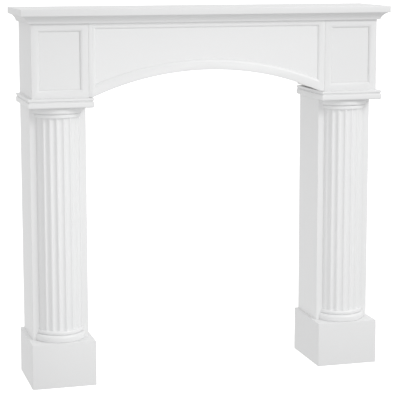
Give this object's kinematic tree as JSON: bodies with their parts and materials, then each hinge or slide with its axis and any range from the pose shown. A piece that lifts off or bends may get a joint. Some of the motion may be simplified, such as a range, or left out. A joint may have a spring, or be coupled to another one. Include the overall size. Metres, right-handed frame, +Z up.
{
  "type": "fireplace mantelpiece",
  "caption": "White painted timber fire surround: boxed legs with fluted half columns, an arched frieze between panelled end blocks, and a crown-moulded shelf.",
  "frame": {"origin": "on the floor, at the middle of the overall width and depth", "axes": "+Z up, front toward -Y, +X to the right as seen from the front; the back edges lie in one plane at +Y"},
  "size_m": [1.0586, 0.2374, 1.05],
  "materials": {
    "white_paint_on_board": "smooth satin white paint on flat timber board",
    "white_paint_on_wood": "smooth satin white paint on turned and moulded timber"
  },
  "bodies": {
    "root": {"plinth_front_left": "white_paint_on_board", "plinth_top_left": "white_paint_on_board", "plinth_outer_left": "white_paint_on_board", "plinth_inner_left": "white_paint_on_board", "pilaster_front_left": "white_paint_on_board", "pilaster_outer_left": "white_paint_on_board", "pilaster_inner_left": "white_paint_on_board", "column_base_left": "white_paint_on_wood", "column_shaft_left": "white_paint_on_wood", "column_capital_left": "white_paint_on_wood", "cap_left": "white_paint_on_wood", "block_front_left": "white_paint_on_board", "block_outer_left": "white_paint_on_board", "block_inner_left": "white_paint_on_board", "plinth_front_right": "white_paint_on_board", "plinth_top_right": "white_paint_on_board", "plinth_outer_right": "white_paint_on_board", "plinth_inner_right": "white_paint_on_board", "pilaster_front_right": "white_paint_on_board", "pilaster_outer_right": "white_paint_on_board", "pilaster_inner_right": "white_paint_on_board", "column_base_right": "white_paint_on_wood", "column_shaft_right": "white_paint_on_wood", "column_capital_right": "white_paint_on_wood", "cap_right": "white_paint_on_wood", "block_front_right": "white_paint_on_board", "block_outer_right": "white_paint_on_board", "block_inner_right": "white_paint_on_board", "frieze_panel": "white_paint_on_board", "crown_front": "white_paint_on_wood", "crown_left": "white_paint_on_wood", "crown_right": "white_paint_on_wood", "shelf_board": "white_paint_on_board"}
  },
  "joints": []
}
